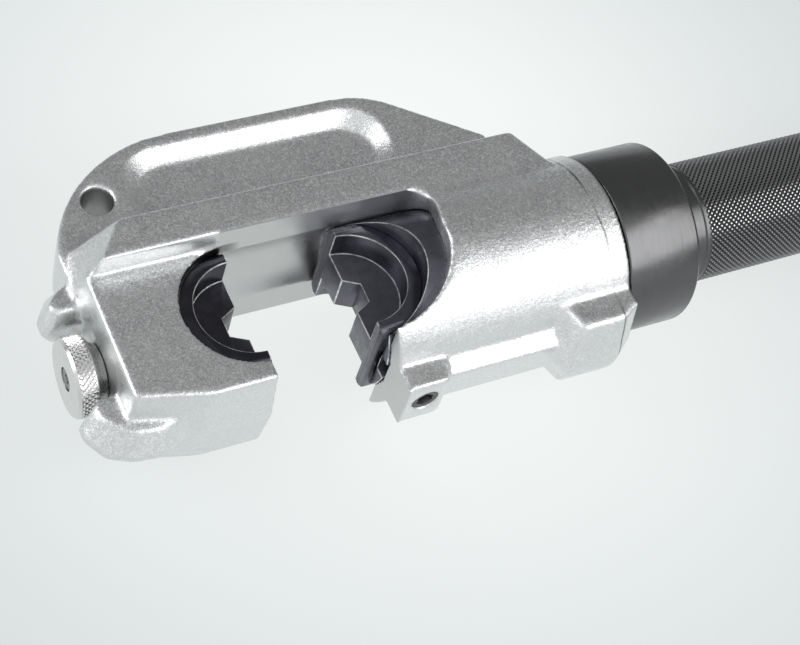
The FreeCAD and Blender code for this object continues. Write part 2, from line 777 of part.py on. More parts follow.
def make_ram():
    """The ram: half-round die seat in front, seal groove behind, keyway underneath."""
    body = new_body("ram")
    section = [
        (RAM_FRONT, "0"),
        ("Size.ram_rear - Size.rod_entry", "0"),
        ("Size.ram_rear - Size.rod_entry", "Size.rod_thread_radius + Size.thread_gap"),
        ("Size.ram_rear", "Size.rod_thread_radius + Size.thread_gap"),
        ("Size.ram_rear", RAM_RADIUS),
        (SEAL_REAR, RAM_RADIUS),
        (SEAL_REAR, SEAL_FLOOR),
        (SEAL_FRONT, SEAL_FLOOR),
        (SEAL_FRONT, RAM_RADIUS),
        (RAM_FRONT, RAM_RADIUS),
    ]
    turn(body, outline(body, "ram_section", "XY_Plane", section))
    seat = disc(body, "ram_seat", "XY_Plane", SEAT_RADIUS, ("Size.opening", "0"))
    cut(body, seat, "3 * Size.bore_radius", middle=True)
    floor = "Size.bore_radius - Size.keyway_depth"
    end = "(Size.screw_place + %s)" % RAM_STROKE
    half = "Size.keyway_width / 2"
    keyway = [
        (RAM_FRONT + " - 1", "-" + half),
        (end, "-" + half, half),
        (end + " + " + half, "0", half),
        (end, half),
        (RAM_FRONT + " - 1", half),
    ]
    slot = outline(body, "keyway", "XZ_Plane", keyway, floor)
    cut(body, slot, "2 * Size.keyway_depth", forward=True)
    ball = disc(
        body, "ball_hole", "YZ_Plane", "Size.ball_radius + Size.ball_gap",
        lift=RAM_SEAT_FLOOR + " + Size.ball_hole_depth")
    cut(body, ball, "2 * Size.ball_hole_depth")
    return body


def make_ball():
    """The ball that clicks into the moving die's back."""
    body = new_body("die_ball")
    front = BALL_CENTRE + " - Size.ball_radius"
    back = BALL_CENTRE + " + Size.ball_radius"
    half = [
        (back, "0", "Size.ball_radius"),
        (BALL_CENTRE, "Size.ball_radius", "Size.ball_radius"),
        (front, "0"),
    ]
    turn(body, outline(body, "ball_section", "XY_Plane", half))
    return body


def make_ram_fittings():
    """Piston seal, its backup ring, the detent ball's spring and the tail rod."""
    seal_outside = "Size.bore_radius - Size.seal_gap"
    split = "(%s + Size.backup_width)" % SEAL_FRONT
    lip_floor = SEAL_FLOOR + " + Size.groove_depth / 2"
    turned("piston_seal", [
        (split + " + 0.05", SEAL_FLOOR + " + 0.05"),
        (SEAL_REAR + " - 0.4", SEAL_FLOOR + " + 0.05"),
        (split + " + 1.6", lip_floor),
        (SEAL_REAR + " - 0.4", seal_outside),
        (split + " + 0.05", seal_outside),
    ])
    turned("seal_backup_ring", [
        (SEAL_FRONT + " + 0.05", SEAL_FLOOR + " + 0.05"),
        (split, SEAL_FLOOR + " + 0.05"),
        (split, seal_outside),
        (SEAL_FRONT + " + 0.05", seal_outside),
    ])
    ball_back = BALL_CENTRE + " + Size.ball_radius"
    coil("die_ball_spring", "(%s)" % ball_back, "(%s + Size.ball_hole_depth)" % RAM_SEAT_FLOOR,
         "Size.ball_radius - 2 * Size.poppet_wire", "Size.poppet_wire", "3")
    turned("tail_rod", [
        ("Size.ram_rear - Size.rod_entry + 1", "0"),
        ("Size.rod_end", "0"),
        ("Size.rod_end", "Size.rod_thread_radius"),
        (SEAT_FACE, "Size.rod_thread_radius"),
        (SEAT_FACE, "Size.rod_radius"),
        ("Size.ram_rear", "Size.rod_radius"),
        ("Size.ram_rear", "Size.rod_thread_radius"),
        ("Size.ram_rear - Size.rod_entry + 1", "Size.rod_thread_radius"),
    ])
    lip = "(Size.spring_radius - Size.spring_wire - 0.3)"
    turned("spring_seat", [
        (SEAT_FACE + " - 3", "Size.rod_radius + Size.rod_gap"),
        (SEAT_FACE, "Size.rod_radius + Size.rod_gap"),
        (SEAT_FACE, "Size.rod_thread_radius + Size.rod_gap"),
        (SEAT_FACE + " + Size.seat_width", "Size.rod_thread_radius + Size.rod_gap"),
        (SEAT_FACE + " + Size.seat_width", "Size.seat_radius"),
        (SEAT_FACE, "Size.seat_radius"),
        (SEAT_FACE, lip),
        (SEAT_FACE + " - 3", lip),
    ])
    nut = new_body("rod_nut")
    pad(nut, hexagon(nut, "rod_nut_hexagon", "Size.nut_flats", SEAT_FACE + " + Size.seat_width"),
        "Size.nut_width")
    bore = disc(
        nut, "rod_nut_bore", "YZ_Plane", "Size.rod_thread_radius + Size.thread_gap",
        lift=SEAT_FACE)
    cut(nut, bore, "2 * Size.nut_width + Size.seat_width", forward=True)
    coil("return_spring", NECK_END, SEAT_FACE, "Size.spring_radius", "Size.spring_wire",
         "Size.spring_turns")


def make_die_lock():
    """The spring-loaded pin that holds the fixed die, with its pull knob."""
    stem_front = "(%s - Size.knob_bore_depth + 0.3)" % KNOB_BACK
    hole = "Size.knob_screw_radius + Size.thread_gap"
    screw_end = "(-Size.knob_face + Size.knob_screw_head + 0.3 + Size.knob_screw_length)"
    turned("lock_pin", [
        (stem_front, hole),
        (screw_end + " + 1", hole),
        (screw_end + " + 1", "0"),
        (PIN_TIP, "0"),
        (PIN_TIP, "Size.pin_tip_radius - 0.6"),
        (PIN_TIP + " - 0.6", "Size.pin_tip_radius"),
        (PIN_SHOULDER, "Size.pin_tip_radius"),
        (PIN_SHOULDER, "Size.pin_shoulder_radius"),
        (PIN_STEM, "Size.pin_shoulder_radius"),
        (PIN_STEM, "Size.pin_stem_radius"),
        (stem_front, "Size.pin_stem_radius"),
    ])
    head_floor = "(-Size.knob_face + Size.knob_screw_head + 0.3)"
    bore_floor = "(%s - Size.knob_bore_depth)" % KNOB_BACK
    hub_back = "(-Size.spot_face - Size.knob_hub_gap)"
    turned("lock_knob", [
        ("-Size.knob_face", "Size.knob_screw_head_radius + 0.2"),
        (head_floor, "Size.knob_screw_head_radius + 0.2"),
        (head_floor, hole),
        (bore_floor, hole),
        (bore_floor, "Size.pin_stem_radius + Size.thread_gap"),
        (hub_back, "Size.pin_stem_radius + Size.thread_gap"),
        (hub_back, "Size.knob_hub_radius - 1"),
        (KNOB_BACK + " + 0.6", "Size.knob_hub_radius"),
        (KNOB_BACK, "Size.knob_radius - 2.2"),
        (KNOB_BACK + " - 1.6", "Size.knob_radius"),
        ("-Size.knob_face + Size.knob_edge", "Size.knob_radius"),
        ("-Size.knob_face", "Size.knob_radius - Size.knob_edge"),
    ])
    screw = turned("knob_screw", [
        (head_floor + " - Size.knob_screw_head", "0"),
        (screw_end, "0"),
        (screw_end, "Size.knob_screw_radius"),
        (head_floor, "Size.knob_screw_radius"),
        (head_floor, "Size.knob_screw_head_radius"),
        (head_floor + " - Size.knob_screw_head", "Size.knob_screw_head_radius"),
    ])
    socket = hexagon(screw, "knob_screw_socket", "Size.knob_socket_flats",
                     head_floor + " - 0.7")
    cut(screw, socket, "Size.knob_screw_head")
    coil("lock_spring", CHAMBER_END, PIN_STEM, "Size.lock_spring_radius", "Size.lock_wire",
         "Size.lock_spring_turns")


def make_cap():
    """The cylinder cap: spigot in the barrel, black collar outside, neck for the grip."""
    groove_end = "(Size.cap_groove + Size.cap_groove_width)"
    groove_floor = CAP_SPIGOT + " - Size.cap_groove_depth"
    neck_groove_end = "(%s + Size.end_groove_width)" % NECK_SEAL
    neck_floor = "Size.neck_radius - 2 * Size.o_ring_wire"
    body = turned("cylinder_cap", [
        ("Size.cap_face", "Size.rod_radius + Size.rod_gap"),
        (NECK_END, "Size.rod_radius + Size.rod_gap"),
        (NECK_END, "Size.neck_radius"),
        (neck_groove_end, "Size.neck_radius"),
        (neck_groove_end, neck_floor),
        (NECK_SEAL, neck_floor),
        (NECK_SEAL, "Size.neck_radius"),
        ("Size.cap_rear", "Size.neck_radius"),
        ("Size.cap_rear", "Size.cap_radius - Size.cap_edge"),
        ("Size.cap_rear - Size.cap_edge", "Size.cap_radius"),
        (CAP_FRONT + " + Size.cap_edge / 2", "Size.cap_radius"),
        (CAP_FRONT, "Size.cap_radius - Size.cap_edge / 2"),
        (CAP_FRONT, CAP_SPIGOT),
        (groove_end, CAP_SPIGOT),
        (groove_end, groove_floor),
        ("Size.cap_groove", groove_floor),
        ("Size.cap_groove", CAP_SPIGOT),
        ("Size.cap_face", CAP_SPIGOT),
    ])
    race = disc(
        body, "cap_race", "XY_Plane", "Size.swivel_wire + Size.swivel_gap",
        ("Size.swivel_place", "Size.bore_radius"))
    turn(body, race, remove=True)
    hole = disc(
        body, "oil_hole", "YZ_Plane", "Size.oil_hole_radius", ("Size.oil_hole_circle", "0"),
        "Size.cap_face - 1")
    first = cut(body, hole, "2 * Size.cap_rear", forward=True)
    pattern = body.newObject("PartDesign::PolarPattern", "oil_holes")
    pattern.Originals = [first]
    pattern.Axis = (hole, ["N_Axis"])
    pattern.Angle = 360
    pattern.Occurrences = 3
    body.Tip = pattern
    return body


def make_cap_fittings():
    """O-ring and backup ring of the spigot, the swivel's snap ring, the grip's O-ring."""
    floor = "(%s - Size.cap_groove_depth)" % CAP_SPIGOT
    ring("cap_o_ring", "Size.cap_groove + Size.o_ring_groove",
         floor + " + Size.o_ring_wire + Size.ring_gap", "Size.o_ring_wire")
    backup_front = "Size.cap_groove + 2 * Size.o_ring_groove + Size.ring_gap"
    backup_rear = "Size.cap_groove + Size.cap_groove_width - Size.ring_gap"
    turned("cap_backup_ring", [
        (backup_front, floor + " + Size.ring_gap"),
        (backup_rear, floor + " + Size.ring_gap"),
        (backup_rear, CAP_SPIGOT),
        (backup_front, CAP_SPIGOT),
    ])
    snap = new_body("swivel_ring")
    wire = disc(snap, "swivel_wire_section", "XY_Plane", "Size.swivel_wire",
                ("Size.swivel_place", "Size.bore_radius"))
    sweep = turn(snap, wire)
    sweep.setExpression("Angle", "360 - Size.swivel_ring_break")
    ring("tube_o_ring", NECK_SEAL + " + Size.end_groove_width / 2",
         "Size.neck_radius - Size.o_ring_wire + Size.ring_gap", "Size.o_ring_wire")


def make_grip():
    """The knurled grip tube and the plug that closes it."""
    knurl_front = "(Size.cap_rear + Size.grip_plain)"
    land_rear = "(%s - Size.grip_plain)" % GRIP_END
    turned("grip_tube", [
        ("Size.cap_rear", "Size.grip_bore_radius"),
        (GRIP_END, "Size.grip_bore_radius"),
        (GRIP_END, "Size.grip_radius - Size.grip_relief - Size.grip_edge"),
        (GRIP_END + " - Size.grip_edge", "Size.grip_radius - Size.grip_relief"),
        (land_rear, "Size.grip_radius - Size.grip_relief"),
        (land_rear + " - Size.grip_relief", "Size.grip_radius"),
        (knurl_front + " + Size.grip_relief", "Size.grip_radius"),
        (knurl_front, "Size.grip_radius - Size.grip_relief"),
        ("Size.cap_rear", "Size.grip_radius - Size.grip_relief"),
    ])
    neck = "Size.neck_radius"
    floor = neck + " - 2 * Size.o_ring_wire"
    groove = "(%s - Size.end_neck_length + 2)" % GRIP_END
    groove_end = "(%s + Size.end_groove_width)" % groove
    turned("rear_plug", [
        (GRIP_END + " - Size.end_neck_length", "Size.port_radius"),
        (END_FACE, "Size.port_radius"),
        (END_FACE, "Size.end_cap_radius - Size.end_cap_edge"),
        (END_FACE + " - Size.end_cap_edge", "Size.end_cap_radius"),
        (GRIP_END + " + 0.5", "Size.end_cap_radius"),
        (GRIP_END, "Size.end_cap_radius - 0.5"),
        (GRIP_END, neck),
        (groove_end, neck),
        (groove_end, floor),
        (groove, floor),
        (groove, neck),
        (GRIP_END + " - Size.end_neck_length", neck),
    ])
    ring("plug_o_ring", groove + " + Size.end_groove_width / 2",
         neck + " - Size.o_ring_wire + Size.ring_gap", "Size.o_ring_wire")


def make_coupler():
    """The male quick coupler that takes the hose, with its check valve."""
    turned("sealing_washer", [
        (END_FACE, "Size.port_radius + 0.1"),
        (HEX_FACE, "Size.port_radius + 0.1"),
        (HEX_FACE, "Size.washer_radius"),
        (END_FACE, "Size.washer_radius"),
    ])
    groove = "(%s + Size.nipple_groove)" % NIPPLE_ROOT
    groove_end = "(%s + Size.nipple_groove_width)" % groove
    slope = "Size.nipple_groove_depth"
    shank = "Size.port_radius - Size.thread_gap"
    body = turned("coupler_body", [
        (COUPLER_FRONT, "Size.coupler_bore_radius"),
        (VALVE_SEAT + " - Size.valve_seat_length", "Size.coupler_bore_radius"),
        (VALVE_SEAT, "Size.valve_mouth_radius"),
        (NIPPLE_END, "Size.valve_mouth_radius"),
        (NIPPLE_END, "Size.nipple_radius - Size.nipple_edge"),
        (NIPPLE_END + " - Size.nipple_edge", "Size.nipple_radius"),
        (groove_end, "Size.nipple_radius"),
        (groove_end + " - " + slope, "Size.nipple_radius - Size.nipple_groove_depth"),
        (groove + " + " + slope, "Size.nipple_radius - Size.nipple_groove_depth"),
        (groove, "Size.nipple_radius"),
        (NIPPLE_ROOT, "Size.nipple_radius"),
        (NIPPLE_ROOT, shank),
        (COUPLER_FRONT, shank),
    ])
    outer = hexagon(body, "coupler_hexagon", "Size.coupler_flats", HEX_FACE)
    pad(body, outer, "Size.coupler_hex_width")
    clear = disc(body, "coupler_bore", "YZ_Plane", "Size.coupler_bore_radius", lift=HEX_FACE)
    cut(body, clear, "Size.coupler_hex_width + 1", forward=True)
    turned("coupler_poppet", [
        (GUIDE_REAR + " - Size.guide_width", "0"),
        (NIPPLE_END + " - 0.3", "0"),
        (NIPPLE_END + " - 0.3", "Size.poppet_nose_radius"),
        (VALVE_SEAT, "Size.poppet_nose_radius"),
        (VALVE_SEAT, "Size.valve_mouth_radius - Size.poppet_gap"),
        (POPPET_HEAD_END, "Size.poppet_radius"),
        (POPPET_HEAD, "Size.poppet_radius"),
        (POPPET_HEAD, "Size.poppet_stem_radius"),
        (GUIDE_REAR + " - Size.guide_width", "Size.poppet_stem_radius"),
    ])
    guide = turned("poppet_guide", [
        (GUIDE_REAR + " - Size.guide_width", "Size.poppet_stem_radius + Size.rod_gap"),
        (GUIDE_REAR, "Size.poppet_stem_radius + Size.rod_gap"),
        (GUIDE_REAR, "Size.coupler_bore_radius - Size.thread_gap"),
        (GUIDE_REAR + " - Size.guide_width", "Size.coupler_bore_radius - Size.thread_gap"),
    ])
    hole = disc(guide, "guide_hole", "YZ_Plane", "Size.guide_hole_radius",
                ("Size.guide_hole_circle", "0"), GUIDE_REAR)
    first = cut(guide, hole, "2 * Size.guide_width", middle=True)
    pattern = guide.newObject("PartDesign::PolarPattern", "guide_holes")
    pattern.Originals = [first]
    pattern.Axis = (hole, ["N_Axis"])
    pattern.Angle = 360
    pattern.Occurrences = 4
    guide.Tip = pattern
    coil("poppet_spring", GUIDE_REAR, POPPET_HEAD, "Size.poppet_spring_radius",
         "Size.poppet_wire", "Size.poppet_spring_turns")


def check_document():
    """Stop with the object's name where a feature failed or a cut removed nothing."""
    for item in document.Objects:
        if "Invalid" in item.State or "Error" in item.State:
            raise RuntimeError("%s failed: %s" % (item.Name, item.State))
        base = getattr(item, "BaseFeature", None)
        kind = item.TypeId
        removes = kind.endswith("Pocket") or kind.endswith("Groove") or "Subtractive" in kind
        if removes and base is not None and item.Shape.Volume >= base.Shape.Volume - 1e-6:
            raise RuntimeError("%s cuts nothing" % item.Name)


def write_parts():
    """Write each piece's solid to its own file."""
    os.makedirs("parts", exist_ok=True)
    for item in document.Objects:
        if item.TypeId != "PartDesign::Body":
            continue
        shape = item.Shape
        if shape.isNull() or not shape.isValid() or not shape.Solids:
            raise RuntimeError("%s has no valid solid" % item.Label)
        shape.exportStep("parts/%s.step" % item.Label)


make_head()
make_die("fixed_die", "0", "-")
make_die("moving_die", "Size.opening", "")
make_guide_screw()
make_ram()
make_ball()
make_ram_fittings()
make_die_lock()
make_cap()
make_cap_fittings()
make_grip()
make_coupler()
document.recompute()
check_document()
write_parts()
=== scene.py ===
"""The looks of the hydraulic crimping tool: soft forged head, knurls, blued dies, studio."""
import json
import math

import bmesh
import bpy
from mathutils import Matrix, Vector


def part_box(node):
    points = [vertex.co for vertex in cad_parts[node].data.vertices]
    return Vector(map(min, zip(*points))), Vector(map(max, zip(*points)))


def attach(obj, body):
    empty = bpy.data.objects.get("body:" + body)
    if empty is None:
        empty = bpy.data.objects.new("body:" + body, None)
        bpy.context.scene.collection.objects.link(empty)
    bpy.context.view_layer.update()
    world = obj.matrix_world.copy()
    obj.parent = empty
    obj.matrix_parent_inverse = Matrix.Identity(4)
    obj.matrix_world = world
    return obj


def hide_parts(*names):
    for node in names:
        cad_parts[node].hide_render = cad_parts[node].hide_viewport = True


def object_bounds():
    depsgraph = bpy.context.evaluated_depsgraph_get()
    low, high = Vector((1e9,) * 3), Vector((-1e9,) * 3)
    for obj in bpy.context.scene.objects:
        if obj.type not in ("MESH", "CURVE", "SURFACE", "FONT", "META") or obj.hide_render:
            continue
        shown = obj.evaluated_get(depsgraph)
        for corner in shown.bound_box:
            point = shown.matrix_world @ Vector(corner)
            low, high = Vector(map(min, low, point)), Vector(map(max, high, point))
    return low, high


# Sizes are in millimetres and angles in degrees, unless a comment says otherwise
MM = 0.001
WELD = 0.02
FLAT_ANGLE = 0.5
SHARP_ANGLE = 30.0
HEAD_SHARP_ANGLE = 50.0
EDGE_BEVEL = 0.3
SCREW_BEVEL = 0.25
BEVEL_STEPS = 2

# Camera, in the frame of the tool
CAMERA_TARGET = (31.03, -30.39, 38.94)
CAMERA_DISTANCE = 548.2
CAMERA_AZIMUTH = -42.557
CAMERA_ELEVATION = 54.1
CAMERA_ROLL = 22.036
CAMERA_LENS = 86.85
SENSOR_WIDTH = 36.0
CAMERA_NEAR = 10.0
CAMERA_FAR = 20000.0

# Floor, lamps and room, in metres and watts
FLOOR_REACH = 3.0
FLOOR_GLOW = 0.75
# Painted pool of light on the floor: its glow runs from bright in the middle to pale at the edge
FLOOR_BRIGHT = (1.08, 1.12, 1.1)
FLOOR_PALE = (0.685, 0.716, 0.722)
POOL_CENTRE = (0.085, 0.045, 0.0)
POOL_RADIUS = 0.26
ROOM_COLOR = (0.97, 0.985, 0.99)
ROOM_FRONT = (-0.6, -0.75, 0.25)
ROOM_EDGE = (-0.15, 0.45)
ROOM_DARK = 0.28
ROOM_BRIGHT = 0.86
FRONT_BOX_PLACE = (0.57, -0.6, 0.65)
FRONT_BOX_TARGET = (0.1, 0, 0)
FRONT_BOX_SIZE = (1.0, 0.7)
FRONT_BOX_POWER = 5.2
LEFT_BOX_PLACE = (-0.8, 0.35, 0.5)
LEFT_BOX_TARGET = (0, 0, 0)
LEFT_BOX_SIZE = (0.6, 0.7)
LEFT_BOX_POWER = 4.0

# Forged head: how soft its edges run, and where it is machined
HEAD_VOXEL = 0.7
HEAD_SOFTNESS = 20
GUARD_SOFTNESS = 6
GUARD_ZONE = -47.0
JAW_TIP_SOFTNESS = 60
JAW_TIP_ZONE = -38.0
CRISP_BAND = 1.2
FACE_REACH = 1.0
THROAT_REAR = 66.0
LOOKS_DOWN = -0.7
THROAT_SIDE = 21.0
JAW_FACE = -1.0
TONGUE_FACE = 38.5
CHANNEL_RADIUS = 25.5
BORE_RADIUS = 25.0
BARREL_REAR = 119.6
SPOT_FACE = -44.3
SPOT_RADIUS = 15.4
HANG_HOLE = (-27.5, 51.8)
HANG_HOLE_RADIUS = 5.0
HOLE_RIM = 1.5
# Strength of the painted shade in the hanging hole
HOLE_PAINTED_SHADE = 0.6
WEB_HALF_WIDTH = 10.0
DIE_SEAT_RADIUS = 20.6
CHEEK_HALF_WIDTH = 18.3
CHEEK_RIM = 0.3
JOINT_WIDTH = 2.0
# A line of painted shade round the barrel, where its groove runs
CREASE_PLACE = 113.0
CREASE_HALF_WIDTH = 0.5
CREASE_WANDER = 1.2
CREASE_STRENGTH = 0.8

# Dies: the radii and the place along Z that part their edges, and the bar of
# half height, half width and corner radius that their ends are trimmed to
DIE_RELIEF = 14.0
DIE_RIM = 17.0
DIE_END = 15.5
MOVING_DIE_CENTRE = 35.4
DIE_ENDS = (20.6, 16.2, 2.8)
BAR_REACH = (-60.0, 90.0)
CORNER_STEPS = 6

# Grip and knob with their knurls
GRIP_RADIUS = 20.1
GRIP_RELIEF = 0.5
GRIP_PLAIN = 9.0
GRIP_BORDER = 1.0
GRIP_BORE = 15.6
GRIP_EDGE = 0.8
GRIP_SINK = 0.1
GRIP_SEGMENTS = 144
GRIP_KNURL_COUNT = 66
GRIP_KNURL_DEPTH = 0.5
KNOB_RADIUS = 12.35
KNOB_SINK = 0.05
KNOB_SEGMENTS = 96
KNOB_KNURL_COUNT = 44
KNOB_KNURL_DEPTH = 0.42
KNOB_EDGE = 0.8
KNOB_LENGTH = 7.8
KNOB_SLOPE = (1.6, 2.2)
KNOB_NECK = (0.6, 9.4)
KNOB_STEM_RADIUS = 8.4
KNOB_BORE_RADIUS = 4.05
KNOB_BORE_FLOOR = 4.4
KNOB_SCREW_RADIUS = 2.05
KNOB_SINKING = (2.5, 3.7)
KNURL_CROWN = 0.36
KNURL_FLOOR = 0.02

# Colours of the forging: dull to bright on its flat faces, darker there as painted shade, its
# upright sides, lighter as painted light, milled faces, and the near black of painted shade in the
# die seat, the hanging hole, the rear face and the crease
PLATE_DULL = (0.5, 0.51, 0.515)
PLATE_EVEN = (0.62, 0.63, 0.63)
PLATE_BRIGHT = (0.95, 0.96, 0.96)
PLATE_FLECK = (1.0, 1.0, 1.0)
SIDE_PAINTED_LIGHT_DULL = (0.73, 0.74, 0.74)
SIDE_PAINTED_LIGHT_BRIGHT = (0.83, 0.84, 0.84)
MILLED_FACE = (0.58, 0.59, 0.59)
PAINTED_SHADE_DARK = (0.05, 0.048, 0.045)
PLATE_METAL = 0.93
GRAIN_DEPTH = 0.2
PIT_DEPTH = 0.3
SWELL_DEPTH = 1.5

# Colours of the other materials, each a pair to blend between
# Die edges rubbed bright: partly wear, partly a painted highlight
WORN_AND_HIGHLIGHT_COLORS = ((0.3, 0.305, 0.32), (0.85, 0.85, 0.85))
RUBBER_COLORS = ((0.02, 0.02, 0.02), (0.035, 0.035, 0.035))
PLASTIC_COLORS = ((0.8, 0.79, 0.75), (0.88, 0.87, 0.84))
COPPER_COLORS = ((0.72, 0.4, 0.26), (0.8, 0.5, 0.34))

# Most of a noise lies in the first range; a face turns from upright to flat over the second
NOISE_RANGE = (0.3, 0.7)
FLAT_RANGE = (0.35, 0.85)

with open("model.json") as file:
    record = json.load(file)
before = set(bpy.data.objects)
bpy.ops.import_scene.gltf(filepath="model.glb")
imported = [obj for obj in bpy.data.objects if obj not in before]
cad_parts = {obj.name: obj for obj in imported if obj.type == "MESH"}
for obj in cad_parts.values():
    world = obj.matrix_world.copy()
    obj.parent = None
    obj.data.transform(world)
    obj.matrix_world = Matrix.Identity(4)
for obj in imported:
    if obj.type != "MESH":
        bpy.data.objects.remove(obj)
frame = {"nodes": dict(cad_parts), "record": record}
cad_low, cad_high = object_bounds()
nodes = frame["nodes"]
bodies = frame["record"]["behaviour"]["bodies"]
BODY_OF = {node: body for body, members in bodies.items() for node in members}
SLOT_OF = {item["node"]: item["material_slot"] for item in frame["record"]["subparts"]}


class Shader:
    """A material or a world under construction, with short calls for nodes and links."""

    def __init__(self, owner):
        owner.use_nodes = True
        self.owner = owner
        self.tree = owner.node_tree

    def node(self, kind, **settings):
        """A new node with its properties set."""
        made = self.tree.nodes.new("ShaderNode" + kind)
        for name, value in settings.items():
            setattr(made, name, value)
        return made

    def link(self, source, target):
        """Join an output socket to an input socket."""
        self.tree.links.new(source, target)

    def feed(self, value, target):
        """Give an input its value: a link from a node, a colour or a number."""
        if isinstance(value, bpy.types.NodeSocket):
            self.link(value, target)
        elif isinstance(value, tuple):
            target.default_value = (*value, 1)
        else:
            target.default_value = value

    def calculate(self, operation, *values):
        """The outcome of an operation on one or two values, from nodes or numbers."""
        math_node = self.node("Math", operation=operation)
        for value, socket in zip(values, math_node.inputs):
            self.feed(value, socket)
        return math_node.outputs["Value"]

    def place(self):
        """The point on the object, in metres."""
        return self.node("TexCoord").outputs["Object"]

    def parts(self, vector):
        """The X, Y and Z outputs of a vector."""
        separate = self.node("SeparateXYZ")
        self.link(vector, separate.inputs["Vector"])
        return separate.outputs

    def noise(self, scale, detail=2.0, rough=0.5, stretch=None, twist=0.0):
        """Noise with so many cells to the metre, stretched along an axis or twisted when asked."""
        where = self.place()
        if stretch is not None:
            mapping = self.node("Mapping")
            mapping.inputs["Scale"].default_value = stretch
            self.link(where, mapping.inputs["Vector"])
            where = mapping.outputs["Vector"]
        noise = self.node("TexNoise")
        noise.inputs["Scale"].default_value = scale
        noise.inputs["Detail"].default_value = detail
        noise.inputs["Roughness"].default_value = rough
        noise.inputs["Distortion"].default_value = twist
        self.link(where, noise.inputs["Vector"])
        return noise.outputs["Fac"]

    def spread(self, value, low, high, new_low, new_high):
        """Map a value from one range to another, held at the ends."""
        mapper = self.node("MapRange")
        mapper.inputs["From Min"].default_value = low
        mapper.inputs["From Max"].default_value = high
        mapper.inputs["To Min"].default_value = new_low
        mapper.inputs["To Max"].default_value = new_high
        self.link(value, mapper.inputs["Value"])
        return mapper.outputs["Result"]

    def cloud(self, low, high, scale, detail=2.0, rough=0.5):
        """Noise stretched to fill a range."""
        return self.spread(self.noise(scale, detail, rough), *NOISE_RANGE, low, high)

    def blend(self, factor, first, second):
        """A colour between two colours, each of which may come from a node."""
        mix = self.node("Mix", data_type="RGBA")
        self.feed(first, mix.inputs["A"])
        self.feed(second, mix.inputs["B"])
        self.link(factor, mix.inputs["Factor"])
        return mix.outputs["Result"]

    def multiply(self, first, second):
        """The product of two values."""
        return self.calculate("MULTIPLY", first, second)

    def maximum(self, first, second):
        """The larger of two values."""
        return self.calculate("MAXIMUM", first, second)

    def facing_up(self):
        """1 on a face that looks up or down the Z axis, falling to 0 on an upright one."""
        facing = self.parts(self.node("TexCoord").outputs["Normal"])
        return self.spread(self.calculate("ABSOLUTE", facing["Z"]), *FLAT_RANGE, 0.0, 1.0)

    def crease(self):
        """A thin broken line of painted shade round the barrel, where its groove runs: 1 on it, 0
        away from it.
        """
        reach = CREASE_WANDER * MM
        half_width = CREASE_HALF_WIDTH * MM
        wander = self.spread(self.noise(90.0, 3.0), 0.0, 1.0, -reach, reach)
        along = self.calculate("ADD", self.parts(self.place())["X"], wander)
        away = self.calculate("ABSOLUTE", self.calculate("SUBTRACT", along, CREASE_PLACE * MM))
        line = self.spread(away, half_width / 2, half_width, CREASE_STRENGTH, 0.0)
        broken = self.spread(self.noise(70.0, 2.0), 0.38, 0.55, 0.15, 1.0)
        return self.multiply(line, broken)

    def bump(self, height, distance, strength=1.0, after=None):
        """A bump of so many millimetres, laid over another when given."""
        bump = self.node("Bump")
        bump.inputs["Distance"].default_value = distance * MM
        self.feed(strength, bump.inputs["Strength"])
        self.link(height, bump.inputs["Height"])
        if after is not None:
            self.link(after, bump.inputs["Normal"])
        return bump.outputs["Normal"]

    def finish(self, color, rough, normal, metallic=1.0):
        """Set the surface and hand over the material."""
        surface = self.tree.nodes["Principled BSDF"].inputs
        self.feed(color, surface["Base Color"])
        self.feed(rough, surface["Roughness"])
        self.link(normal, surface["Normal"])
        surface["Metallic"].default_value = metallic
        return self.owner


def new_shader(name):
    """The builder of a new material."""
    return Shader(bpy.data.materials.new(name))


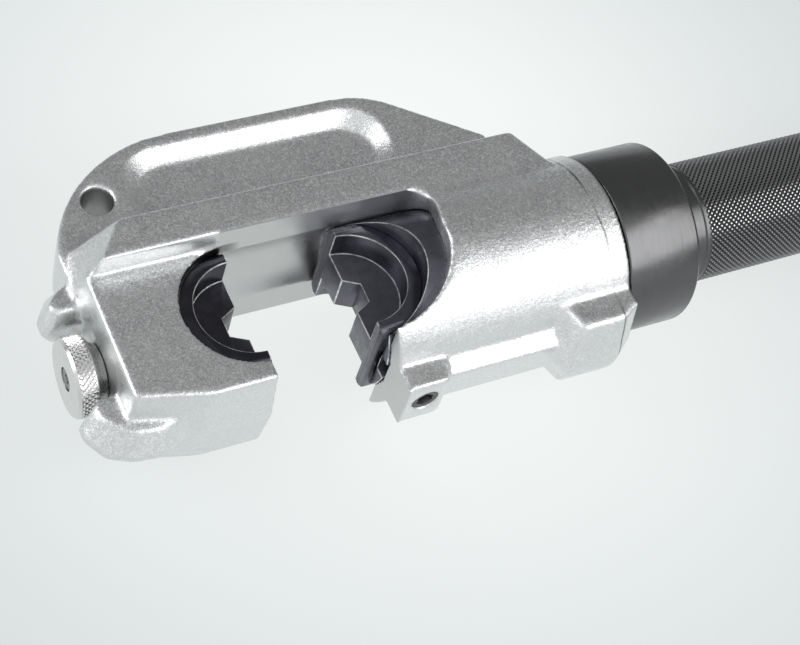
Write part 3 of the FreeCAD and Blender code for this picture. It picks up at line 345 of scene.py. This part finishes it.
def forged_plate():
    """Zinc plate over a blasted forging: speckled and darker on the flat faces as painted shade,
    plainer and lighter on the upright sides as painted light.

    Two fields of the mesh steer it: "machined" calms the grain and greys it, and
    the second darkens it with painted shade in the die seat, the hanging hole and on the rear
    face.
    A thin crease runs round the barrel a little before its rear end, painted dark as the shade in
    its groove.
    """
    shader = new_shader("forged_plate")
    machined = shader.node("Attribute", attribute_name="machined").outputs["Fac"]
    painted_shade = shader.node("Attribute", attribute_name="painted_shade").outputs["Fac"]
    raw = shader.spread(machined, 0.0, 1.0, 1.0, 0.12)
    mottle = shader.cloud(0.0, 1.0, 55.0, 4.0, 0.6)
    speckle = shader.spread(shader.noise(1300.0, 2.0, 0.7, twist=1.5), 0.44, 0.64, 0.0, 1.0)
    fleck = shader.spread(shader.noise(800.0, 1.0, twist=1.0), 0.69, 0.73, 0.0, 1.0)
    flat = shader.multiply(shader.facing_up(), raw)
    dull = shader.blend(mottle, PLATE_DULL, PLATE_EVEN)
    bright = shader.blend(speckle, dull, PLATE_BRIGHT)
    flecked = shader.blend(fleck, bright, PLATE_FLECK)
    # Painted light: the upright sides get a lighter colour than the flat faces
    plain = shader.blend(speckle, SIDE_PAINTED_LIGHT_DULL, SIDE_PAINTED_LIGHT_BRIGHT)
    plate = shader.blend(flat, plain, flecked)
    milled = shader.blend(machined, plate, MILLED_FACE)
    # Painted shade: the die seat, the hanging hole, the rear face and the crease turn near black
    with_painted_shade = shader.blend(shader.maximum(painted_shade, shader.crease()), milled, PAINTED_SHADE_DARK)
    rough = shader.cloud(0.27, 0.36, 240.0, 3.0)
    grain = shader.noise(1400.0, 2.0, 0.6, twist=1.5)
    fine = shader.bump(grain, GRAIN_DEPTH, shader.multiply(raw, 0.5))
    pitting = shader.noise(600.0, 3.0, 0.6)
    pits = shader.bump(pitting, PIT_DEPTH, shader.multiply(raw, 0.35), fine)
    swell = shader.bump(shader.noise(60.0, 1.0), SWELL_DEPTH, shader.multiply(raw, 0.2), pits)
    return shader.finish(with_painted_shade, rough, swell, PLATE_METAL)


def bright_steel(name, value, rough):
    """Turned and plated steel with fine rings about the X axis."""
    shader = new_shader(name)
    turning = shader.noise(60.0, 2.0, 0.6, (60.0, 1.0, 1.0))
    color = shader.blend(turning, (value * 0.92,) * 3, (value * 1.04, value * 1.04, value * 1.02))
    roughness = shader.cloud(rough * 0.85, rough * 1.2, 300.0)
    return shader.finish(color, roughness, shader.bump(turning, 0.04, 0.5))


def black_oxide(name, value):
    """Blued tool steel: near black with a blue cast and faint grinding marks."""
    shader = new_shader(name)
    dark = (value, value, value * 1.18)
    light = (value * 1.4, value * 1.4, value * 1.66)
    color = shader.blend(shader.cloud(0.0, 1.0, 120.0, 3.0, 0.6), dark, light)
    rough = shader.cloud(0.24, 0.36, 400.0)
    return shader.finish(color, rough, shader.bump(shader.noise(1800.0), 0.05, 0.4))


def worn_and_highlit_edge():
    """Blued steel rubbed bright and carrying a painted highlight, more in some places than in
    others.
    """
    shader = new_shader("worn_and_highlit_edge")
    wear = shader.spread(shader.noise(180.0, 3.0, 0.7), 0.36, 0.58, 0.0, 1.0)
    color = shader.blend(wear, *WORN_AND_HIGHLIGHT_COLORS)
    return shader.finish(color, 0.34, shader.bump(shader.noise(1500.0), 0.05, 0.5))


def satin_black(name, value, rough):
    """Blackened steel of the collar and the grip, with very fine turning lines."""
    shader = new_shader(name)
    turning = shader.noise(70.0, 2.0, 0.6, (50.0, 1.0, 1.0))
    color = shader.blend(turning, (value * 0.85,) * 3, (value * 1.15, value * 1.15, value * 1.18))
    roughness = shader.cloud(rough * 0.85, rough * 1.2, 250.0)
    return shader.finish(color, roughness, shader.bump(turning, 0.03, 0.4))


def rubber_black():
    """Black nitrile rubber."""
    shader = new_shader("rubber_black")
    color = shader.blend(shader.noise(300.0), *RUBBER_COLORS)
    return shader.finish(color, 0.6, shader.bump(shader.noise(900.0), 0.04, 0.4), metallic=0.0)


def white_plastic():
    """White PTFE of the back-up rings."""
    shader = new_shader("white_plastic")
    color = shader.blend(shader.noise(200.0), *PLASTIC_COLORS)
    return shader.finish(color, 0.45, shader.bump(shader.noise(700.0), 0.03, 0.3), metallic=0.0)


def soft_copper():
    """Copper of the sealing washer."""
    shader = new_shader("soft_copper")
    color = shader.blend(shader.noise(150.0, 3.0), *COPPER_COLORS)
    return shader.finish(color, 0.34, shader.bump(shader.noise(900.0), 0.04, 0.4))


MATERIALS = {
    "plated_steel": forged_plate(),
    "bright_knob_steel": bright_steel("knob_steel", 0.74, 0.26),
    "socket_screw_steel": bright_steel("screw_steel", 0.34, 0.34),
    "spring_steel": bright_steel("spring_steel", 0.42, 0.32),
    "black_oxide": black_oxide("black_oxide", 0.11),
    "collar_black": satin_black("collar_black", 0.14, 0.24),
    "grip_black": satin_black("grip_black", 0.13, 0.26),
    "hardened_steel": bright_steel("ground_steel", 0.58, 0.22),
    "coupler_steel": bright_steel("coupler_steel", 0.64, 0.26),
    "seal_rubber": rubber_black(),
    "backup_plastic": white_plastic(),
    "washer_metal": soft_copper(),
}
# Bright die and ram edges: wear and a painted highlight
WORN_AND_HIGHLIGHT = worn_and_highlit_edge()
# A darker copy of the blued steel for the fixed die: painted shade
SHADED_OXIDE = black_oxide("shaded_oxide", 0.045)
# A darker copy of the screw steel for the guide screw: painted shade deep in its hole
SHADED_SCREW_STEEL = bright_steel("shaded_screw_steel", 0.14, 0.4)
# A lighter copy of the grip's black for the knurl crests: painted glints
CREST_GLINT_BLACK = satin_black("crest_glint_black", 0.42, 0.2)


def dress_nodes():
    """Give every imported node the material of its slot."""
    for name, obj in nodes.items():
        material = MATERIALS[SLOT_OF[name]]
        if obj.material_slots:
            for place in obj.material_slots:
                place.material = material
        else:
            obj.data.materials.append(material)


def stand_for(piece, node):
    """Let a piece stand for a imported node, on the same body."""
    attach(piece, BODY_OF[node])
    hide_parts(node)


def new_object(name, mesh, *materials):
    """An object in the scene with its materials."""
    obj = bpy.data.objects.new(name, mesh)
    bpy.context.scene.collection.objects.link(obj)
    mesh.materials.clear()
    for material in materials:
        mesh.materials.append(material)
    return obj


def apply_modifiers(obj):
    """Work an object's modifiers into its mesh."""
    graph = bpy.context.evaluated_depsgraph_get()
    mesh = bpy.data.meshes.new_from_object(obj.evaluated_get(graph))
    old = obj.data
    obj.modifiers.clear()
    obj.data = mesh
    bpy.data.meshes.remove(old)


def clean_copy(node):
    """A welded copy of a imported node's mesh, its flat faces joined up."""
    mesh = nodes[node].data.copy()
    if "custom_normal" in mesh.attributes:
        mesh.attributes.remove(mesh.attributes["custom_normal"])
    work = bmesh.new()
    work.from_mesh(mesh)
    bmesh.ops.remove_doubles(work, verts=work.verts, dist=WELD * MM)
    flat = math.radians(FLAT_ANGLE)
    bmesh.ops.dissolve_limit(work, angle_limit=flat, verts=work.verts, edges=work.edges)
    work.to_mesh(mesh)
    work.free()
    return mesh


def smooth(mesh, angle=SHARP_ANGLE):
    """Smooth shading with hard edges above an angle."""
    mesh.shade_smooth()
    mesh.set_sharp_from_angle(angle=math.radians(angle))


def break_edges(obj, width, material, chosen):
    """Bevel the chosen edges by a width, in the object's material of that number."""
    work = bmesh.new()
    work.from_mesh(obj.data)
    layer = work.edges.layers.float.get("bevel_weight_edge")
    weight = layer or work.edges.layers.float.new("bevel_weight_edge")
    sharp = math.radians(SHARP_ANGLE)
    for edge in work.edges:
        turn = edge.calc_face_angle_signed(0.0) if edge.is_manifold else 0.0
        middle = (edge.verts[0].co + edge.verts[1].co) / 2 / MM
        edge[weight] = 1.0 if abs(turn) > sharp and chosen(middle, turn > 0) else 0.0
    work.to_mesh(obj.data)
    work.free()
    bevel = obj.modifiers.new("edges", "BEVEL")
    bevel.width = width * MM
    bevel.segments = BEVEL_STEPS
    bevel.limit_method = "WEIGHT"
    bevel.material = material
    bevel.use_clamp_overlap = False
    apply_modifiers(obj)


def round_ends(obj, half_height, half_width, corner):
    """Trim a piece to a bar along the X axis with rounded corners."""
    work = bmesh.new()
    outline = []
    for quarter in range(4):
        side_y = 1 if quarter in (0, 3) else -1
        side_z = 1 if quarter in (0, 1) else -1
        for step in range(CORNER_STEPS + 1):
            angle = math.pi / 2 * (quarter + step / CORNER_STEPS)
            y = side_y * (half_height - corner) + corner * math.cos(angle)
            z = side_z * (half_width - corner) + corner * math.sin(angle)
            outline.append((y, z))
    ends = [[work.verts.new((x * MM, y * MM, z * MM)) for y, z in outline] for x in BAR_REACH]
    for index in range(len(outline)):
        after = (index + 1) % len(outline)
        work.faces.new((ends[0][index], ends[0][after], ends[1][after], ends[1][index]))
    for end in ends:
        work.faces.new(end)
    bmesh.ops.recalc_face_normals(work, faces=work.faces)
    mesh = bpy.data.meshes.new("bar")
    work.to_mesh(mesh)
    work.free()
    bar = new_object("bar", mesh)
    trim = obj.modifiers.new("ends", "BOOLEAN")
    trim.operation = "INTERSECT"
    trim.object = bar
    apply_modifiers(obj)
    bpy.data.objects.remove(bar)
    bpy.data.meshes.remove(mesh)


def bevelled(node, width, wear_and_highlight=None, material=None, ends=None):
    """Show a node with its convex edges broken, and rubbed bright with a painted highlight where
    its chooser of such edges says so.
    """
    own = material or MATERIALS[SLOT_OF[node]]
    obj = new_object(node + "_shown", clean_copy(node), own, WORN_AND_HIGHLIGHT)

    def plain(middle, convex):
        """Whether a convex edge isn't rubbed bright with a painted highlight."""
        return convex and not (wear_and_highlight and wear_and_highlight(middle, convex))

    if ends is not None:
        round_ends(obj, *ends)
    if wear_and_highlight is not None:
        break_edges(obj, width, 1, wear_and_highlight)
    break_edges(obj, width, 0, plain)
    smooth(obj.data)
    stand_for(obj, node)


def all_edges(middle, convex):
    """Choose every convex edge."""
    return convex


def inner_edges(centre, rim_worn_and_highlit):
    """Choose the edges of a die's relief and nest, and of its outer rim when that is rubbed bright
    with a painted highlight.
    """
    def chosen(middle, convex):
        """Whether an edge is one of them, by its middle."""
        around = math.hypot(middle.x - centre, middle.y)
        if around > DIE_RIM:
            return rim_worn_and_highlit and convex and abs(middle.z) > DIE_END
        return around > DIE_RELIEF or convex
    return chosen


def near(value, target):
    """1 where a value is at a target, falling to 0 over the crisp band."""
    return max(0.0, 1.0 - abs(value - target) / CRISP_BAND)


def machined_share(point, normal):
    """How far a point of the head lies on a machined face, 0 to 1."""
    x, y, z = point
    around = math.hypot(y, z)
    shares = [0.0]
    if JAW_FACE - FACE_REACH < x < THROAT_REAR and normal.y < LOOKS_DOWN:
        shares.append(near(y, THROAT_SIDE))
    in_throat = JAW_FACE - FACE_REACH < x < TONGUE_FACE + FACE_REACH
    if in_throat and around < CHANNEL_RADIUS + FACE_REACH:
        shares.append(near(around, CHANNEL_RADIUS))
    if x > TONGUE_FACE - FACE_REACH:
        shares.append(near(around, BORE_RADIUS))
        shares.append(near(x, BARREL_REAR))
    if abs(x - JAW_FACE) < FACE_REACH or abs(x - TONGUE_FACE) < FACE_REACH:
        shares.append(abs(normal.x) ** 4)
    if math.hypot(x, y) < DIE_SEAT_RADIUS + FACE_REACH and abs(z) < CHEEK_HALF_WIDTH:
        shares.append(near(math.hypot(x, y), DIE_SEAT_RADIUS))
    if around < SPOT_RADIUS + FACE_REACH / 2 and x < SPOT_FACE + FACE_REACH:
        shares.append(near(x, SPOT_FACE))
    if abs(z) < WEB_HALF_WIDTH - HOLE_RIM:
        from_hole = math.hypot(x - HANG_HOLE[0], y - HANG_HOLE[1])
        shares.append(near(from_hole, HANG_HOLE_RADIUS))
    return max(shares)


def painted_shade_share(point):
    """How dark a point of the head is painted with shade: the die seat, the hanging hole, the rear
    face.
    """
    x, y, z = point
    painted_shades = [0.0]
    if abs(z) < CHEEK_HALF_WIDTH - CHEEK_RIM:
        painted_shades.append(near(math.hypot(x, y), DIE_SEAT_RADIUS))
    if abs(z) < WEB_HALF_WIDTH - HOLE_RIM:
        from_hole = math.hypot(x - HANG_HOLE[0], y - HANG_HOLE[1])
        painted_shades.append(HOLE_PAINTED_SHADE * near(from_hole, HANG_HOLE_RADIUS))
    if math.hypot(y, z) > BORE_RADIUS + JOINT_WIDTH:
        painted_shades.append(near(x, BARREL_REAR))
    return max(painted_shades)


def soft_head():
    """The forged head with its edges and corners run soft, except where it is machined."""
    obj = new_object("c_head_shown", clean_copy("c_head"), MATERIALS["plated_steel"])
    remesh = obj.modifiers.new("even", "REMESH")
    remesh.mode = "VOXEL"
    remesh.voxel_size = HEAD_VOXEL * MM
    apply_modifiers(obj)
    mesh = obj.data
    mesh.materials.clear()
    mesh.materials.append(MATERIALS["plated_steel"])
    points = [vertex.co / MM for vertex in mesh.vertices]
    normals = [vertex.normal for vertex in mesh.vertices]
    shares = [machined_share(point, normal) for point, normal in zip(points, normals)]
    painted_shades = [painted_shade_share(point) for point in points]
    soft = obj.vertex_groups.new(name="soft")
    lumps = obj.vertex_groups.new(name="lumps")
    tips = obj.vertex_groups.new(name="tips")
    for index, share in enumerate(shares):
        # A point that is half machined already stays where it is
        kept = 1.0 - min(1.0, share * 2)
        soft.add([index], kept, "REPLACE")
        if points[index].x < GUARD_ZONE:
            lumps.add([index], kept, "REPLACE")
        if points[index].y < JAW_TIP_ZONE:
            tips.add([index], kept, "REPLACE")
    # The second field holds the painted shade of the die seat, the hanging hole and the rear face
    for name, values in (("machined", shares), ("painted_shade", painted_shades)):
        mesh.attributes.new(name, "FLOAT", "POINT").data.foreach_set("value", values)
    softness = {"soft": HEAD_SOFTNESS, "lumps": GUARD_SOFTNESS, "tips": JAW_TIP_SOFTNESS}
    for group, rounds in softness.items():
        soften = obj.modifiers.new(group, "SMOOTH")
        soften.factor = 0.5
        soften.iterations = rounds
        soften.vertex_group = group
    apply_modifiers(obj)
    smooth(obj.data, HEAD_SHARP_ANGLE)
    stand_for(obj, "c_head")


def lathe(name, profile, segments, *materials):
    """A closed ring mesh turned about the X axis from corners of (place, radius)."""
    work = bmesh.new()
    loops = []
    for step in range(segments):
        angle = 2 * math.pi * step / segments
        y = math.cos(angle)
        z = math.sin(angle)
        loops.append([work.verts.new((x * MM, r * MM * y, r * MM * z)) for x, r in profile])
    for step in range(segments):
        here = loops[step]
        there = loops[(step + 1) % segments]
        for index in range(len(profile)):
            after = (index + 1) % len(profile)
            work.faces.new((here[index], here[after], there[after], there[index]))
    bmesh.ops.recalc_face_normals(work, faces=work.faces)
    mesh = bpy.data.meshes.new(name)
    work.to_mesh(mesh)
    work.free()
    smooth(mesh)
    return new_object(name, mesh, *materials)


def knurl(work, start, end, radius, depth, count):
    """Add a diamond knurl about the X axis to a mesh, its crests in the second material."""
    step = math.pi * radius / count
    rows = 2 * round((end - start) / step / 2)
    columns = 2 * count

    def point(row, column, height):
        """A point of the knurl, at height 0 in the valleys and 1 on the crests."""
        angle = math.pi * column / count
        r = (radius - depth + depth * height) * MM
        x = (start + (end - start) * row / rows) * MM
        return Vector((x, r * math.cos(angle), r * math.sin(angle)))

    low = {}
    for row in range(rows + 1):
        for column in range(columns):
            if (row + column) % 2 == 0 or row in (0, rows):
                low[row, column] = work.verts.new(point(row, column, 0.0))
    offsets = ((-KNURL_CROWN, 0), (0, KNURL_CROWN), (KNURL_CROWN, 0), (0, -KNURL_CROWN))
    faces = []
    for row in range(rows + 1):
        for column in range(columns):
            if (row + column) % 2 == 0:
                continue
            left = low[row, (column - 1) % columns]
            right = low[row, (column + 1) % columns]
            if row == 0:
                faces.append(work.faces.new((low[0, column], right, low[1, column])))
                faces.append(work.faces.new((low[0, column], low[1, column], left)))
                continue
            if row == rows:
                faces.append(work.faces.new((low[rows, column], low[rows - 1, column], right)))
                faces.append(work.faces.new((low[rows, column], left, low[rows - 1, column])))
                continue
            corners = [low[row - 1, column], right, low[row + 1, column], left]
            top = [work.verts.new(point(row + dx, column + dy, 1.0)) for dx, dy in offsets]
            crest = work.faces.new(top)
            crest.material_index = 1
            faces.append(crest)
            for index in range(4):
                after = (index + 1) % 4
                side = (corners[index], corners[after], top[after], top[index])
                faces.append(work.faces.new(side))
    return faces


def knurled(name, profile, start, end, radius, depth, count, segments, *materials):
    """A turned piece whose band from start to end carries a diamond knurl."""
    obj = lathe(name, profile, segments, *materials)
    work = bmesh.new()
    work.from_mesh(obj.data)
    for face in work.faces:
        face.smooth = True
    for face in knurl(work, start, end, radius, depth, count):
        face.smooth = False
    bmesh.ops.recalc_face_normals(work, faces=work.faces)
    work.to_mesh(obj.data)
    work.free()
    return obj


def grip():
    """The grip tube with its diamond knurl and plain ends."""
    low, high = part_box("grip_tube")
    front = low.x / MM
    rear = high.x / MM
    land = GRIP_RADIUS - GRIP_RELIEF
    start = front + GRIP_PLAIN + GRIP_RELIEF + GRIP_BORDER
    end = rear - GRIP_PLAIN - GRIP_RELIEF - GRIP_BORDER
    floor = GRIP_RADIUS - GRIP_KNURL_DEPTH - KNURL_FLOOR
    border = GRIP_RADIUS - GRIP_SINK
    profile = [
        (front, GRIP_BORE), (front, land), (front + GRIP_PLAIN, land),
        (front + GRIP_PLAIN + GRIP_RELIEF, border), (start, border),
        (start, floor), (end, floor), (end, border),
        (rear - GRIP_PLAIN - GRIP_RELIEF, border), (rear - GRIP_PLAIN, land),
        (rear - GRIP_EDGE, land), (rear, land - GRIP_EDGE), (rear, GRIP_BORE),
    ]
    # The knurl crests take the lighter black as painted glints
    obj = knurled("grip_shown", profile, start, end, GRIP_RADIUS, GRIP_KNURL_DEPTH,
                  GRIP_KNURL_COUNT, GRIP_SEGMENTS, MATERIALS["grip_black"], CREST_GLINT_BLACK)
    stand_for(obj, "grip_tube")


def knob():
    """The die lock's knob with its knurled rim and turned face."""
    low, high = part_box("lock_knob")
    face = low.x / MM
    back = face + KNOB_LENGTH
    start = face + KNOB_EDGE
    end = back - KNOB_SLOPE[0]
    floor = KNOB_RADIUS - KNOB_KNURL_DEPTH - KNURL_FLOOR
    border = KNOB_RADIUS - KNOB_SINK
    stem = high.x / MM
    bore_floor = face + KNOB_BORE_FLOOR
    sinking = face + KNOB_SINKING[0]
    profile = [
        (face, KNOB_SINKING[1]), (face, KNOB_RADIUS - KNOB_EDGE), (start, border),
        (start, floor), (end, floor), (end, border), (back, KNOB_RADIUS - KNOB_SLOPE[1]),
        (back + KNOB_NECK[0], KNOB_NECK[1]), (stem, KNOB_STEM_RADIUS),
        (stem, KNOB_BORE_RADIUS), (bore_floor, KNOB_BORE_RADIUS),
        (bore_floor, KNOB_SCREW_RADIUS), (sinking, KNOB_SCREW_RADIUS),
        (sinking, KNOB_SINKING[1]),
    ]
    steel = MATERIALS["bright_knob_steel"]
    obj = knurled("knob_shown", profile, start, end, KNOB_RADIUS, KNOB_KNURL_DEPTH,
                  KNOB_KNURL_COUNT, KNOB_SEGMENTS, steel, steel)
    stand_for(obj, "lock_knob")


def set_camera():
    """The camera of the photograph."""
    azimuth = math.radians(CAMERA_AZIMUTH)
    elevation = math.radians(CAMERA_ELEVATION)
    level = math.cos(elevation)
    back = Vector((math.sin(azimuth) * level, -math.cos(azimuth) * level, math.sin(elevation)))
    right = (-back).cross(Vector((0, 0, 1))).normalized()
    up = right.cross(-back)
    roll = math.radians(CAMERA_ROLL)
    across = right * math.cos(roll) + up * math.sin(roll)
    upward = up * math.cos(roll) - right * math.sin(roll)
    data = bpy.data.cameras.new("camera")
    data.lens = CAMERA_LENS
    data.sensor_width = SENSOR_WIDTH
    data.clip_start = CAMERA_NEAR * MM
    data.clip_end = CAMERA_FAR * MM
    camera = bpy.data.objects.new("camera", data)
    turn = Matrix((across, upward, back)).transposed().to_4x4()
    place = (Vector(CAMERA_TARGET) + back * CAMERA_DISTANCE) * MM
    camera.matrix_world = Matrix.Translation(place) @ turn
    bpy.context.scene.collection.objects.link(camera)
    bpy.context.scene.camera = camera


def floor_material():
    """Pale floor with a soft pool of light painted on it as a glow, the same for the camera and
    for mirrors.
    """
    shader = new_shader("pale_floor")
    path = shader.node("LightPath").outputs
    seen = shader.maximum(path["Is Camera Ray"], path["Is Glossy Ray"])
    mapping = shader.node("Mapping")
    mapping.inputs["Location"].default_value = [-x for x in POOL_CENTRE]
    shader.link(shader.place(), mapping.inputs["Vector"])
    away = shader.node("VectorMath", operation="LENGTH")
    shader.link(mapping.outputs["Vector"], away.inputs[0])
    pool = shader.spread(away.outputs["Value"], 0.0, POOL_RADIUS, 0.0, 1.0)
    pool.node.interpolation_type = "SMOOTHSTEP"
    glow = shader.node("Emission")
    shader.link(shader.blend(pool, FLOOR_BRIGHT, FLOOR_PALE), glow.inputs["Color"])
    matte = shader.node("BsdfDiffuse")
    shader.feed(FLOOR_PALE, matte.inputs["Color"])
    mix = shader.node("MixShader")
    shader.link(shader.multiply(seen, FLOOR_GLOW), mix.inputs["Fac"])
    shader.link(matte.outputs["BSDF"], mix.inputs[1])
    shader.link(glow.outputs["Emission"], mix.inputs[2])
    inner = shader.tree.nodes
    inner.remove(inner["Principled BSDF"])
    shader.link(mix.outputs["Shader"], inner["Material Output"].inputs["Surface"])
    return shader.owner


def set_floor():
    """The floor that the tool lies on."""
    level = cad_low.z
    signs = [(-1, -1), (1, -1), (1, 1), (-1, 1)]
    corners = [(x * FLOOR_REACH, y * FLOOR_REACH, level) for x, y in signs]
    mesh = bpy.data.meshes.new("floor")
    mesh.from_pydata(corners, [], [(0, 1, 2, 3)])
    new_object("floor", mesh, floor_material())


def lamp(name, place, target, size, power):
    """A rectangular soft light that looks at a target."""
    data = bpy.data.lights.new(name, "AREA")
    data.shape = "RECTANGLE"
    data.size = size[0]
    data.size_y = size[1]
    data.energy = power
    obj = bpy.data.objects.new(name, data)
    obj.location = place
    obj.rotation_mode = "QUATERNION"
    obj.rotation_quaternion = (Vector(target) - Vector(place)).to_track_quat("-Z", "Y")
    bpy.context.scene.collection.objects.link(obj)


def set_room():
    """A room that is pale in front of the tool and darker above and behind it."""
    world = bpy.data.worlds.new("room")
    bpy.context.scene.world = world
    shader = Shader(world)
    facing = shader.node("VectorMath", operation="DOT_PRODUCT")
    facing.inputs[1].default_value = ROOM_FRONT
    shader.link(shader.node("TexCoord").outputs["Generated"], facing.inputs[0])
    level = shader.spread(facing.outputs["Value"], *ROOM_EDGE, ROOM_DARK, ROOM_BRIGHT)
    level.node.interpolation_type = "SMOOTHSTEP"
    seen = shader.node("LightPath").outputs["Is Camera Ray"]
    background = shader.tree.nodes["Background"].inputs
    shader.link(shader.maximum(seen, level), background["Strength"])
    shader.feed(ROOM_COLOR, background["Color"])


def set_lights():
    """A wide soft light above in front, a smaller one behind on the left."""
    lamp("front_box", FRONT_BOX_PLACE, FRONT_BOX_TARGET, FRONT_BOX_SIZE, FRONT_BOX_POWER)
    lamp("left_box", LEFT_BOX_PLACE, LEFT_BOX_TARGET, LEFT_BOX_SIZE, LEFT_BOX_POWER)


set_camera()
dress_nodes()
soft_head()
grip()
knob()
# The fixed die in the darker copy of the blued steel, as painted shade
bevelled("fixed_die", EDGE_BEVEL, inner_edges(0.0, True), SHADED_OXIDE, DIE_ENDS)
bevelled("moving_die", EDGE_BEVEL, inner_edges(MOVING_DIE_CENTRE, False), ends=DIE_ENDS)
bevelled("ram", EDGE_BEVEL, all_edges)
for turned in ("cylinder_cap", "rear_plug", "coupler_body"):
    bevelled(turned, EDGE_BEVEL)
# The guide screw painted darker, as the shade deep in its hole
bevelled("guide_screw", SCREW_BEVEL, material=SHADED_SCREW_STEEL)
bevelled("knob_screw", SCREW_BEVEL)
set_floor()
set_room()
set_lights()
bpy.context.scene.view_settings.view_transform = "Standard"
